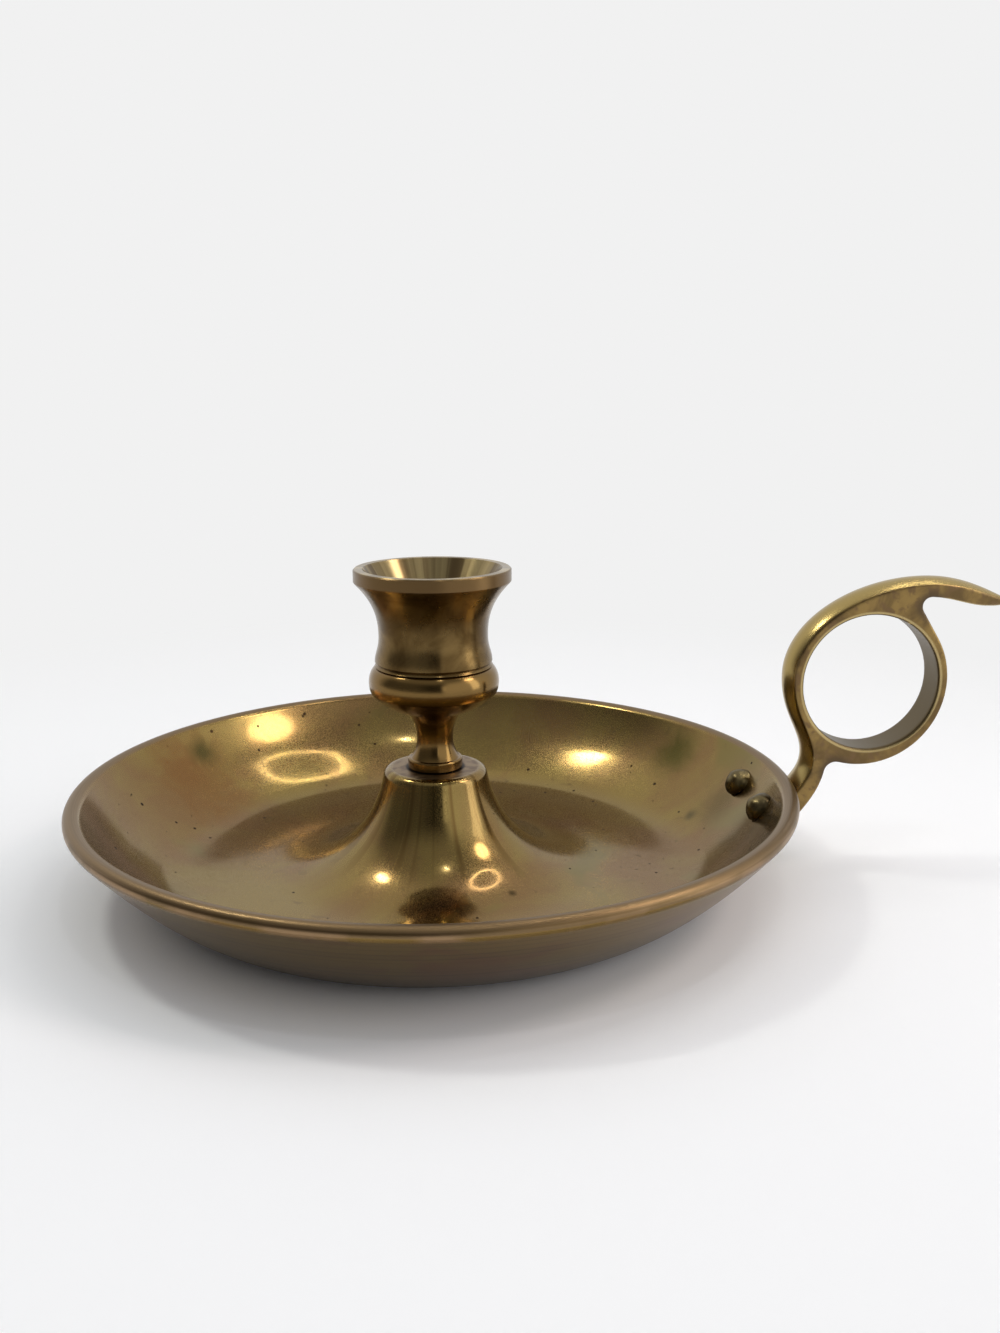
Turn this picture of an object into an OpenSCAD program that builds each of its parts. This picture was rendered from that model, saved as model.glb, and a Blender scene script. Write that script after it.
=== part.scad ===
// Brass chamberstick: a drip pan with a raised cone, a turned candle cup on a
// stem, and a cast finger ring with a thumb crescent, riveted to the pan.
// Millimetres. The origin is on the candle's axis at table level, +Z is up and
// the handle points along +X. Outlines are [distance from the axis, height].

/* [Drip pan] */
// Outer diameter over the lip
pan_d = 160; // [130:1:200]
// Height of the lip above the table
rim_h = 22.2; // [18:0.1:30]
// Outer diameter of the flat ring that stands on the table
base_d = 113.6; // [90:0.1:125]
// Thickness of the floor
pan_t = 2; // [1.6:0.1:2.8]
// Thickness of the wall under the lip, from where it thins out to the floor's
lip_t = 3.8; // [3:0.1:4.8]
// Radius of the lip's outer corner
lip_round = 1.6; // [0.8:0.1:2]
// Slope of the wall under the lip, in degrees
rim_slope = 49.5; // [42:0.5:58]
// Slope of the wall where it leaves the base ring, in degrees
base_slope = 20.5; // [10:0.5:28]

/* [Cone] */
// Height of the cone's flat top above the table
cone_h = 24.8; // [20:0.1:34]
// Diameter of the cone at its top edge
cone_top_d = 23.2; // [20:0.1:30]
// Diameter at which the cone's flare runs out on the floor
cone_foot_d = 76; // [64:1:84]
// Thickness of the top plate that carries the cup
cone_plate_t = 3; // [2.4:0.1:4]
// Radius of the cone's top edge
cone_round = 1; // [0.4:0.1:1.6]

/* [Candle cup] */
// Height of the cup and stem above the cone
cup_h = 45; // [40:0.1:60]
// Diameter of the band round the cup's mouth
cup_rim_d = 34.4; // [32:0.1:42]
// Height of that band
cup_band_h = 3; // [2:0.1:4]
// Diameter of the funnel where it meets the rim
cup_mouth_d = 30.4; // [27:0.1:31]
// Depth of the funnel above the candle's bore
funnel_h = 7.2; // [5:0.1:9]
// Diameter of the candle's bore
candle_d = 21; // [19:0.1:21.4]
// Depth of the candle's bore below the funnel
candle_h = 18; // [14:0.1:19]
// Wall of the cup at its waist
cup_wall = 1.5; // [1.2:0.1:2.4]
// Diameter of the knop at its fullest
knop_d = 28.8; // [28:0.1:34]
// Diameter of the stem's waist
stem_d = 8.1; // [7.6:0.1:11]
// Diameter of the foot disc
foot_d = 12.2; // [12:0.1:18]
// Height of the foot disc
foot_h = 2.4; // [1.6:0.1:3.2]

/* [Screwed joint under the cone] */
// Diameter of the cup's threaded spigot
spigot_d = 6; // [5:0.5:7]
// Diameter of the washer
washer_d = 13; // [12:0.5:15]
// Thickness of the washer
washer_t = 1.2; // [0.8:0.1:1.6]
// Width of the nut across its flats
nut_af = 10; // [9:0.5:12]
// Height of the nut
nut_h = 5; // [4:0.1:6]
// Length of spigot that shows below the nut
spigot_end = 1.5; // [1:0.1:2.5]
// Clearance round the spigot in the cone's hole and the washer
spigot_gap = 0.2; // [0.1:0.05:0.4]

/* [Finger handle] */
// Diameter of the finger hole
finger_d = 30.8; // [25:0.1:37]
// Distance from the lip out to the middle of the finger hole
ring_out = 17.7; // [16:0.1:26]
// Height from the lip up to the middle of the finger hole
ring_up = 20.7; // [17:0.1:30]
// Width of the handle across the ring
band_w = 8.8; // [7:0.1:11]
// Thickness of the stem, with its rounded back
stem_t = 4.8; // [4:0.1:5.6]
// Thickness of the arch over the finger hole
arch_t = 4.4; // [4:0.1:5.4]
// Thickness of the thumb crescent
thumb_t = 4.2; // [3.4:0.1:5]
// Thickness of the ring at its outer side
ring_t = 2.2; // [1.8:0.1:3]
// Extra thickness of the ring underneath, against its outer side
ring_low_t = 1.5; // [0.8:0.1:2.4]
// Height of the rounded back over its edges
crown = 1.5; // [0.8:0.1:2]
// Length of the thumb crescent past the top of the arch
thumb_out = 20; // [14:0.5:26]
// Drop of the crescent's tip below the top of the arch
thumb_drop = 6; // [3:0.1:9]
// Radius of the notch between crescent and ring
notch_r = 2; // [1.2:0.1:2.6]
// Radius of the hollow between stem and ring
crotch_r = 2.6; // [1.6:0.1:3.4]

/* [Rivets] */
// Distance between the two rivets, measured straight across
rivet_gap = 18.4; // [16:0.1:22]
// Diameter of the shank
rivet_d = 3.6; // [3:0.1:4]
// Diameter of the round head inside the pan
head_d = 7; // [6:0.1:7.4]
// Height of the round head
head_h = 2.7; // [2:0.1:3.5]
// Diameter of the hammered end on the palm
tail_d = 5.6; // [5:0.1:6.4]
// Height of the hammered end
tail_h = 1.2; // [0.8:0.1:1.8]
// Thickness of the handle's palm
palm_t = 2.4; // [1.8:0.1:3]
// Radius of the palm's round ends
palm_r = 5.8; // [5:0.1:6.4]

/* [Hidden] */
$fn = 96;

// Clearances: palm to wall, rivet in its holes, nut on its thread, and rivet head
// and hammered end on the faces they meet, which are not quite square to the shank
palm_gap = 0.05;
shank_gap = 0.05;
thread_gap = 0.04;
head_seat = 0.42;
tail_seat = 0.2;

// Extra length of a cutting tool past the face that it leaves by
past = 5;

// Steps in a long curve, a short one and a rounded corner
long_steps = 24;
short_steps = 12;
corner_steps = 6;

// Curves
function bezier(p, t) =
    len(p) == 1 ? p[0] : bezier([for (i = [0 : len(p) - 2]) p[i] * (1 - t) + p[i + 1] * t], t);
function travel(p, t) = bezier([for (i = [0 : len(p) - 2]) p[i + 1] - p[i]], t);
function unit(v) = v / norm(v);
function right_of(v) = [v[1], -v[0]];
function heading(a) = [cos(a), sin(a)];
function curve(p, steps) = [for (i = [0 : steps]) bezier(p, i / steps)];
function backwards(list) = [for (i = [len(list) - 1 : -1 : 0]) list[i]];
function arc(centre, r, from, to, steps) =
    [for (i = [0 : steps]) centre + r * heading(from + (to - from) * i / steps)];
function oval(centre, rx, ry, from, to, steps) =
    [for (i = [0 : steps]) let (a = from + (to - from) * i / steps) centre + [rx * cos(a), ry * sin(a)]];

// Where the line through p at angle a crosses the line through q at angle b
function meet(p, a, q, b) =
    p + heading(a) * cross(q - p, heading(b)) / cross(heading(a), heading(b));

// Outside of the pan's wall: one sweep from the lip's round corner to the base ring
pan_r = pan_d / 2;
lip_centre = [pan_r - lip_round, rim_h - lip_round];
wall_top = lip_centre + lip_round * heading(rim_slope - 90);
wall_base = [base_d / 2, 0];
wall = [wall_top, meet(wall_top, rim_slope, wall_base, base_slope), wall_base];
function inward(t) = right_of(unit(travel(wall, t)));

// Inside of the wall: it thins out from the heavy lip, and runs on as thick as the
// floor. A soft, slightly domed land joins it to the lip's corner, and a curve below
// runs out on the floor.
inside_from = 0.025;
inside_to = 0.72;
taper_to = 0.42;
function wall_t(t) = pan_t + (lip_t - pan_t) * pow(max(0, 1 - t / taper_to), 2);
function inside(t) = bezier(wall, t) + wall_t(t) * inward(t);
function slope(v) = atan2(v[1], v[0]);
function outside_slope(t) = slope(travel(wall, t));
function inside_slope(t) = slope(inside(t + 0.01) - inside(t - 0.01));
inside_curve = [for (i = [0 : long_steps])
    inside(inside_from + (inside_to - inside_from) * i / long_steps)];
lip_fall = 0.2;
lip_low = inside(inside_from);
lip_inner = meet(lip_low, inside_slope(inside_from), [0, rim_h - lip_fall], 0);
lip_land = [[pan_r - lip_round, rim_h], [lip_inner[0] + 1, rim_h], lip_inner, lip_low];

turn = inside(inside_to);
turn_mid = meet(turn, outside_slope(inside_to), [0, pan_t], 0);
turn_end = turn_mid - [turn[0] - turn_mid[0] + 1, 0];
floor_turn = [turn, turn_mid, turn_end];

// Cone: steep under its top, then a long flare to the floor
cone_top = [cone_top_d / 2, cone_h - cone_round];
cone_foot = [cone_foot_d / 2, pan_t];
cone_lean = 78.5;
cone_steep = 0.565;
cone_spread = 0.544;
cone = [
    cone_top,
    cone_top + cone_steep * (cone_h - pan_t) * heading(-cone_lean),
    cone_foot - [cone_spread * (cone_foot[0] - cone_top[0]), 0],
    cone_foot
];

// The cone is hollow underneath and as thick as the pan
hollow_from = 0.14;
function under_cone(t) = bezier(cone, t) + pan_t * right_of(unit(travel(cone, t)));
hollow = [for (i = [0 : long_steps]) under_cone(hollow_from + (1 - hollow_from) * i / long_steps)];
plate_low = cone_h - cone_plate_t;
spigot_r = spigot_d / 2;
spigot_hole_r = spigot_r + spigot_gap;

// Rivets: each stands square to the middle of the tapered wall, high on its slope
rivet_at = 0.18;
rivet_p = bezier(wall, rivet_at);
rivet_turn = asin(rivet_gap / 2 / rivet_p[0]);
rivet_tilt = -(outside_slope(rivet_at) + inside_slope(rivet_at)) / 2;

// The rivets' frame: its origin is on the wall's outside and its +Z points out of the pan
module on_wall() {
    translate([rivet_p[0], 0, rivet_p[1]])
        rotate([0, rivet_tilt, 0])
            children();
}

module at_rivet(side) {
    rotate([0, 0, side * rivet_turn])
        on_wall()
            children();
}

module rivet_hole() {
    translate([0, 0, -lip_t - past])
        cylinder(r = rivet_d / 2 + shank_gap, h = lip_t + palm_t + 2 * past);
}

// Pan and cone are one casting, drawn as two solids that meet where the cone's
// flare runs out on the floor
module dish_outline() {
    polygon(concat(
        [[cone_foot[0], 0]],
        backwards(curve(wall, long_steps)),
        arc(lip_centre, lip_round, rim_slope - 90, 90, corner_steps),
        curve(lip_land, short_steps),
        inside_curve,
        curve(floor_turn, short_steps),
        [cone_foot]
    ));
}

module cone_outline() {
    polygon(concat(
        [[spigot_hole_r, plate_low], [hollow[0][0] - cone_round, plate_low]],
        hollow,
        backwards(curve(cone, long_steps)),
        arc(cone_top - [cone_round, 0], cone_round, 0, 90, corner_steps),
        [[spigot_hole_r, cone_h]]
    ));
}

module drip_pan() {
    color("#8a7245") difference() {
        rotate_extrude() dish_outline();
        for (side = [-1, 1]) at_rivet(side) rivet_hole();
    }
}

module pan_cone() {
    color("#8a7245") rotate_extrude() cone_outline();
}

// Candle cup, with heights above the cone's top
spigot_l = cone_plate_t + washer_t + nut_h + spigot_end;
thread_chamfer = 0.6;
foot_round = 0.5;
foot_r = foot_d / 2;
stem_r = stem_d / 2;
stem_low_r = foot_r - 0.7;
stem_waist = 6.9;
stem_top = [stem_r + 2.3, 13];
knop_h = 19.8;
knop_rx = 2.4;
knop_ry = 3.8;
knop_from = -40;
knop_to = 63;
knop_centre = [knop_d / 2 - knop_rx, knop_h];
knop_arc = oval(knop_centre, knop_rx, knop_ry, knop_from, knop_to, short_steps);
knop_low = knop_arc[0];
bead_r = 13;
bead_h = 23.55;
groove_in = 0.45;
groove_h = 0.5;
neck_low = [bead_r - 0.05, bead_h + 2 * groove_h];
cup_waist = [candle_d / 2 + cup_wall, 30.2];
band_low = [cup_rim_d / 2 - 0.2, cup_h - cup_band_h];
edge = 0.3;

module cup_outline() {
    polygon(concat(
        // Spigot and foot disc
        [[0, -spigot_l], [spigot_r - thread_chamfer, -spigot_l], [spigot_r, -spigot_l + thread_chamfer]],
        [[spigot_r, 0], [foot_r - edge, 0], [foot_r, edge]],
        arc([foot_r - foot_round, foot_h - foot_round], foot_round, 0, 90, corner_steps),
        // Stem, drawn in to its waist and out again under the knop
        curve([[stem_low_r, foot_h], [stem_r, foot_h + 2], [stem_r, stem_waist]], short_steps),
        curve([[stem_r, stem_waist], [stem_r, stem_top[1] - 2.4], stem_top], short_steps),
        curve([stem_top, [knop_low[0] - 3.4, stem_top[1] + 0.9], knop_low - [0.25, 0.2]], short_steps),
        // Knop, bead and groove
        knop_arc,
        [[bead_r - groove_in, bead_h - groove_h / 2], [bead_r, bead_h]],
        [[bead_r - groove_in, bead_h + groove_h]],
        // Neck, drawn in to the waist and flared to the band
        curve([neck_low, neck_low + [-0.1, 2], cup_waist - [0, 2.8], cup_waist], short_steps),
        curve([cup_waist, cup_waist + [0, 4.5], [cup_waist[0] + 1.2, band_low[1] - 3.9], band_low],
            short_steps),
        [[cup_rim_d / 2, cup_h - cup_band_h + edge], [cup_rim_d / 2, cup_h - edge]],
        // Rim land, funnel and bore
        [[cup_rim_d / 2 - edge, cup_h], [cup_mouth_d / 2, cup_h]],
        [[candle_d / 2, cup_h - funnel_h], [candle_d / 2, cup_h - funnel_h - candle_h]],
        [[0, cup_h - funnel_h - candle_h]]
    ));
}

module candle_cup() {
    color("#6b5230") translate([0, 0, cone_h]) rotate_extrude() cup_outline();
}

module stem_washer() {
    color("#7d6a44") translate([0, 0, plate_low - washer_t]) difference() {
        cylinder(d = washer_d, h = washer_t);
        translate([0, 0, -past]) cylinder(r = spigot_hole_r, h = washer_t + 2 * past);
    }
}

module stem_nut() {
    color("#84683a") translate([0, 0, plate_low - washer_t - nut_h]) difference() {
        cylinder(r = nut_af / 2 / cos(30), h = nut_h, $fn = 6);
        translate([0, 0, -past]) cylinder(r = spigot_r + thread_gap, h = nut_h + 2 * past);
    }
}

// Handle. Its spine starts as a rib on the palm, rises as the stem, arches over
// the finger hole and runs out as the thumb crescent. These curves give the
// middle of the spine's rounded back, in the handle's own upright plane.
ring_centre = [pan_r + ring_out, rim_h + ring_up];
finger_r = finger_d / 2;
arch_left = ring_centre + [-(finger_r + 3.6), 0.9];
arch_top = ring_centre + [12.7, finger_r + 8];
rib_from = 0.31;
rib_to = 0.09;
rib_depth = 0.85 * palm_t;
function rib(u) = let (t = rib_from + (rib_to - rib_from) * u)
    bezier(wall, t) - (palm_gap + rib_depth) * inward(t);
function rib_dir(u) = -travel(wall, rib_from + (rib_to - rib_from) * u);
stem_low = rib(1);
stem = [stem_low, stem_low + 17 * unit(rib_dir(1)), arch_left - [0, 13.3], arch_left];
arch = [arch_left, arch_left + [0, 13.1], arch_top - [15.8, 0], arch_top];
thumb_tip = arch_top + [thumb_out, -thumb_drop];
thumb = [
    arch_top,
    arch_top + [0.39 * thumb_out, 0],
    thumb_tip + [-0.335 * thumb_out, 0.55 * thumb_drop],
    thumb_tip
];

// Sizes along the spine: it is flush with the palm where the rib starts, full size
// on stem and arch, and thin and narrow at the crescent's tip
half_w = band_w / 2;
rib_w = half_w + 0.5;
rib_t = 1.4;
rib_crown = 0.3;
tip_w = 0.5;
tip_t = 0.7;
function stem_depth(u) = stem_t + (arch_t - stem_t) * u;
function arch_depth(u) = arch_t + (thumb_t - arch_t) * u;
function thumb_depth(u) = tip_t + (thumb_t * (1 + 0.1 * sin(180 * u)) - tip_t) * (1 - pow(u, 4.5));

// One station of the spine: [point, direction, half width, thickness, crown]
rib_steps = 6;
stem_steps = 16;
arch_steps = 24;
thumb_steps = 18;
rib_stations = [for (i = [0 : rib_steps - 1]) let (u = i / rib_steps) [
    rib(u), unit(rib_dir(u)), rib_w * (0.72 + 0.28 * sin(90 * u)), rib_t + (stem_t - rib_t) * u,
    rib_crown * (0.3 + 0.7 * u)
]];
stem_stations = [for (i = [0 : stem_steps - 1]) let (u = i / stem_steps) [
    bezier(stem, u), unit(travel(stem, u)), half_w + (rib_w - half_w) * pow(1 - u, 3), stem_depth(u),
    min(crown, rib_crown + 5 * u)
]];
arch_stations = [for (i = [0 : arch_steps - 1]) let (u = i / arch_steps) [
    bezier(arch, u), unit(travel(arch, u)), half_w, arch_depth(u), crown
]];
thumb_stations = [for (i = [0 : thumb_steps]) let (u = i / thumb_steps) [
    bezier(thumb, u), unit(travel(thumb, u)), half_w - (half_w - tip_w) * pow(u, 2.2), thumb_depth(u),
    crown * (1 - 0.8 * pow(u, 3))
]];
stations = concat(rib_stations, stem_stations, arch_stations, thumb_stations);

// The section across the spine: a crowned back, flat sides and an eased inner face, as [across, inward]
crown_steps = 12;
ease = 0.5;
function section(w, t, c) = let (e = min(ease, w / 3, t / 3)) concat(
    [for (i = [0 : crown_steps]) let (y = 1 - 2 * i / crown_steps) [w * y, min(c, t - e) * y * y]],
    [[-w, t - e], [e - w, t], [w - e, t], [w, t - e]]
);
function place(s) = [for (q = section(s[2], s[3], s[4]))
    let (p = s[0] + q[1] * right_of(s[1])) [p[0], q[0], p[1]]];

// Skin over the stations: the triangles between neighbours, and a cap on each end
module spine() {
    rings = [for (s = stations) place(s)];
    count = len(rings[0]);
    last = (len(rings) - 1) * count;
    sides = [for (i = [0 : len(rings) - 2], j = [0 : count - 1])
        let (a = i * count + j, b = i * count + (j + 1) % count)
            each [[a, b + count, b], [a, a + count, b + count]]];
    polyhedron(
        points = [for (ring = rings) each ring],
        faces = concat(
            sides,
            [[for (j = [0 : count - 1]) j]],
            [[for (j = [count - 1 : -1 : 0]) last + j]]
        )
    );
}

// Ring: its outside is a circle set a little inwards, so it is thicker underneath.
// Spine, ring and webs step in one behind the other at the sides
side_step = 0.1;
ring_half_w = half_w - side_step;
web_half_w = ring_half_w - side_step;
ring_r = finger_r + ring_t + ring_low_t;
ring_outer_centre = ring_centre - [ring_low_t, 0];
ring_round = 0.8;

// The round hollow between stem and ring touches both: its middle is sought along the stem
function off_stem(u, gap) = bezier(stem, u) + (stem_depth(u) + gap) * right_of(unit(travel(stem, u)));
function clear_of_ring(u) = norm(off_stem(u, crotch_r) - ring_outer_centre) > ring_r + crotch_r;
function seek_hollow(low, high, tries) = let (u = (low + high) / 2)
    tries == 0 ? u
    : clear_of_ring(u) ? seek_hollow(u, high, tries - 1)
    : seek_hollow(low, u, tries - 1);
crotch_at = seek_hollow(0, 0.6, 20);
crotch_centre = off_stem(crotch_at, crotch_r);
crotch_up = ring_outer_centre - crotch_centre;
crotch_left = off_stem(crotch_at, 0) - crotch_centre;
crotch_turn = atan2(crotch_up[1], crotch_up[0]);

// The notch between crescent and ring touches both in the same way
notch_centre = arch_top - [0, thumb_t + notch_r];
notch_away = notch_centre - ring_outer_centre;
notch_turn = atan2(notch_away[1], notch_away[0]) - acos(min(1, (ring_r + notch_r) / norm(notch_away)));

// The ring runs a little way into the webs on both sides
ring_from = crotch_turn - 190;
ring_to = 90;

// Turns the handle's upright plane, drawn as [out, up], to stand along +X
module upright() {
    rotate([90, 0, 0]) children();
}

module ring_section() {
    depth = ring_r - finger_r / 2;
    translate([finger_r / 2, -ring_half_w]) square([depth - ring_round, 2 * ring_half_w]);
    translate([finger_r / 2, ring_round - ring_half_w]) square([depth, 2 * (ring_half_w - ring_round)]);
    for (side = [-1, 1])
        translate([ring_r - ring_round, side * (ring_half_w - ring_round)]) circle(r = ring_round);
}

module ring() {
    upright() translate(ring_outer_centre) rotate([0, 0, ring_from])
        rotate_extrude(angle = ring_to - ring_from) ring_section();
}

// Webs between finger hole and spine, each out to its round hollow
function in_stem(u) = off_stem(u, -stem_depth(u) / 2);
function in_arch(u) = bezier(arch, u) + arch_depth(u) / 2 * right_of(unit(travel(arch, u)));

module crotch_web() {
    polygon(concat(
        [ring_centre],
        arc(crotch_centre, crotch_r, crotch_turn, atan2(crotch_left[1], crotch_left[0]), corner_steps),
        [for (i = [0 : 4]) in_stem(crotch_at + (1 - crotch_at) * i / 4)]
    ));
}

module notch_web() {
    polygon(concat(
        [ring_centre],
        [for (i = [0 : 4]) in_arch(0.3 + 0.7 * i / 4)],
        arc(notch_centre, notch_r, 90, 180 + notch_turn, corner_steps),
        [ring_outer_centre + ring_r * heading(notch_turn)]
    ));
}

// Palm: a strip of the wall's own shape with two round ends, one round each rivet
palm_from = 0.01;
palm_to = 0.4;
palm_turn = rivet_turn + 8;
function off_wall(t, gap) = bezier(wall, t) - gap * inward(t);

module palm_plan() {
    translate([-palm_r, -rivet_gap / 2]) square([2 * palm_r, rivet_gap]);
    for (side = [-1, 1]) translate([0, side * rivet_gap / 2]) circle(r = palm_r);
}

module palm() {
    ts = [for (i = [0 : short_steps]) palm_from + (palm_to - palm_from) * i / short_steps];
    intersection() {
        rotate([0, 0, -palm_turn]) rotate_extrude(angle = 2 * palm_turn) polygon(concat(
            [for (t = ts) off_wall(t, palm_gap)],
            backwards([for (t = ts) off_wall(t, palm_gap + palm_t)])
        ));
        on_wall() translate([0, 0, -past]) linear_extrude(palm_t + 2 * past) palm_plan();
    }
}

// The finger hole, with its edges eased
module finger_hole() {
    flare = 0.5;
    upright() translate(ring_centre) rotate_extrude() polygon([
        [0, -past - half_w],
        [finger_r + flare + past, -past - half_w],
        [finger_r, flare - half_w],
        [finger_r, half_w - flare],
        [finger_r + flare + past, half_w + past],
        [0, half_w + past]
    ]);
}

module finger_handle() {
    color("#94804a") difference() {
        union() {
            spine();
            ring();
            upright() linear_extrude(2 * web_half_w, center = true) {
                notch_web();
                crotch_web();
            }
            palm();
        }
        finger_hole();
        for (side = [-1, 1]) at_rivet(side) rivet_hole();
    }
}

// Rivet: a shank, a round head inside the pan and a lower hammered end on the palm
module dome(d, h) {
    ball = (d * d / 4 + h * h) / (2 * h);
    edge_turn = asin((ball - h) / ball);
    rotate_extrude() polygon(concat([[0, 0]], arc([0, h - ball], ball, edge_turn, 90, short_steps)));
}

module rivet(side) {
    head_at = -wall_t(rivet_at) - head_seat;
    tail_at = palm_gap + palm_t + tail_seat;
    color("#4a3a24") at_rivet(side) {
        translate([0, 0, head_at]) cylinder(d = rivet_d, h = tail_at - head_at);
        translate([0, 0, head_at]) mirror([0, 0, 1]) dome(head_d, head_h);
        translate([0, 0, tail_at]) dome(tail_d, tail_h);
    }
}

module rivet_near() {
    rivet(-1);
}

module rivet_far() {
    rivet(1);
}

drip_pan();
pan_cone();
candle_cup();
stem_washer();
stem_nut();
finger_handle();
rivet_near();
rivet_far();
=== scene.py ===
"""Brass chamberstick: a drip pan with a raised cone, a turned candle cup and a cast finger handle.

Outlines are in millimetres, as [distance from the axis, height]; meshes are in metres. The origin is on the
candle's axis at table level, +Z is up and the handle points along +X."""

import bpy
import numpy as np
from mathutils import Matrix, Vector, noise


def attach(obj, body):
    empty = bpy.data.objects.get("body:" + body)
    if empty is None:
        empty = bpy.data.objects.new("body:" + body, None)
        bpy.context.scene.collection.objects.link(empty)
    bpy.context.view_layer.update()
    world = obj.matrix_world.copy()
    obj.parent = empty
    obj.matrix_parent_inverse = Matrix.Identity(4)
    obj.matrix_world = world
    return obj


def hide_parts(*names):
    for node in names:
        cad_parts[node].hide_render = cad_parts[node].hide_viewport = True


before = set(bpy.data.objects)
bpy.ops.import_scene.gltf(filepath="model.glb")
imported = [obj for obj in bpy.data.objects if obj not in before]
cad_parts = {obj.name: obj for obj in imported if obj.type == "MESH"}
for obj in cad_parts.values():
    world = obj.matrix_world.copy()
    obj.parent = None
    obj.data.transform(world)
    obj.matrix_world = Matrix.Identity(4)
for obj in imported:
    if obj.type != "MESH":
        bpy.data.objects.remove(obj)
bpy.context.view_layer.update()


# Camera, at the photograph's viewing angle: a little above the cup, 273 mm in front of
# the candle and turned 4 degrees towards the handle. Its lens covers the tall frame.

MM = 0.001
camera_place = Vector((-5.71, -272.53, 111.59)) * MM
camera_turn = np.radians(4.27)
camera_dip = 0.2305
camera_roll = 0.0036
camera_lens = 34.22

camera = bpy.data.objects.new("camera", bpy.data.cameras.new("camera"))
bpy.context.scene.collection.objects.link(camera)
camera.data.lens = camera_lens
camera.data.sensor_width = 36
camera.data.clip_start = 0.01
upright = Matrix.Rotation(np.pi / 2 - camera_dip, 4, "X")
camera.matrix_world = (
    Matrix.Translation(camera_place)
    @ Matrix.Rotation(-camera_turn, 4, "Z")
    @ upright
    @ Matrix.Rotation(-camera_roll, 4, "Z")
)
bpy.context.scene.camera = camera
bpy.context.scene.view_settings.view_transform = "Standard"


# Drip pan, with the hollow cone in its middle: one brass casting, turned on a lathe inside
# and out, then polished. Years of candle smoke and handling gave it an olive-brown patina.

pan_d = 160
rim_h = 22.2
base_d = 113.6
pan_t = 2
lip_t = 3.8
lip_round = 1.6
rim_slope = 49.5
base_slope = 20.5
cone_h = 24.8
cone_top_d = 23.2
cone_foot_d = 76
cone_plate_t = 3
cone_round = 1.8
spigot_d = 6
spigot_gap = 0.2


def bezier(points, t):
    """Point at t on the curve that these points steer."""
    points = [np.array(p, float) for p in points]
    while len(points) > 1:
        points = [a * (1 - t) + b * t for a, b in zip(points, points[1:])]
    return points[0]


def travel(points, t):
    """Direction in which the curve runs at t."""
    points = [np.array(p, float) for p in points]
    step = bezier([b - a for a, b in zip(points, points[1:])], t)
    return step / np.hypot(*step)


def heading(degrees):
    return np.array([np.cos(np.radians(degrees)), np.sin(np.radians(degrees))])


def right_of(direction):
    return np.array([direction[1], -direction[0]])


def slope_of(direction):
    return np.degrees(np.arctan2(direction[1], direction[0]))


def meet(p, p_angle, q, q_angle):
    """Where the line through p crosses the line through q."""
    p, q = np.array(p, float), np.array(q, float)
    a, b = heading(p_angle), heading(q_angle)
    gap = q - p
    return p + a * (gap[0] * b[1] - gap[1] * b[0]) / (a[0] * b[1] - a[1] * b[0])


def curve(points, steps):
    return [bezier(points, t) for t in np.linspace(0, 1, steps + 1)]


def arc(centre, radius, start, end, steps):
    return [np.array(centre) + radius * heading(a) for a in np.linspace(start, end, steps + 1)]


def finished(name, mesh, replaces, sharp=32):
    """Makes an object of the mesh, shades it and gives it to the frame."""
    piece = bpy.data.objects.new(name, mesh)
    bpy.context.scene.collection.objects.link(piece)
    mesh.polygons.foreach_set("use_smooth", [True] * len(mesh.polygons))
    if sharp:
        mesh.set_sharp_from_angle(angle=np.radians(sharp))
    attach(piece, "root")
    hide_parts(*replaces)
    return piece


def turned(name, outline, replaces, around=240, closed=False):
    """Turns an outline about the axis. An open outline starts and ends on the axis."""
    mesh = bpy.data.meshes.new(name)
    angles = np.arange(around) * 2 * np.pi / around
    rim = np.stack([np.cos(angles), np.sin(angles)], 1)
    points = [np.array(p, float) for p in outline]
    corners, rings = [], []
    for radius, height in points:
        start = len(corners)
        if radius < 1e-6:
            corners.append((0, 0, height * MM))
            rings.append([start] * around)
        else:
            corners += [(x * radius * MM, y * radius * MM, height * MM) for x, y in rim]
            rings.append(list(range(start, start + around)))
    pairs = list(zip(rings, rings[1:] + rings[:1])) if closed else list(zip(rings, rings[1:]))
    faces = []
    for low, high in pairs:
        for i in range(around):
            j = (i + 1) % around
            face = []
            for corner in (low[i], low[j], high[j], high[i]):
                if corner not in face:
                    face.append(corner)
            faces.append(face)
    mesh.from_pydata(corners, [], faces)
    mesh.validate()
    return finished(name, mesh, replaces)


pan_r = pan_d / 2
lip_centre = np.array([pan_r - lip_round, rim_h - lip_round])
wall_top = lip_centre + lip_round * heading(rim_slope - 90)
wall_base = np.array([base_d / 2, 0])
wall = [wall_top, meet(wall_top, rim_slope, wall_base, base_slope), wall_base]


def inward(t):
    return right_of(travel(wall, t))


inside_from = 0.025
inside_to = 0.72
taper_to = 0.42


def wall_t(t):
    """Thickness of the wall: heavy at the lip, from there thinning out to the floor's."""
    return pan_t + (lip_t - pan_t) * max(0, 1 - t / taper_to) ** 2


def inside(t):
    return bezier(wall, t) + wall_t(t) * inward(t)


def outside_slope(t):
    return slope_of(travel(wall, t))


def inside_slope(t):
    return slope_of(inside(t + 0.01) - inside(t - 0.01))


lip_fall = 0.2
lip_low = inside(inside_from)
lip_inner = meet(lip_low, inside_slope(inside_from), [0, rim_h - lip_fall], 0)
lip_land = [[pan_r - lip_round, rim_h], [lip_inner[0] + 1, rim_h], lip_inner, lip_low]
turn = inside(inside_to)
turn_mid = meet(turn, outside_slope(inside_to), [0, pan_t], 0)
turn_end = np.array([45.5, pan_t])
turn_bed = np.array([51, pan_t + 0.1])

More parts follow.
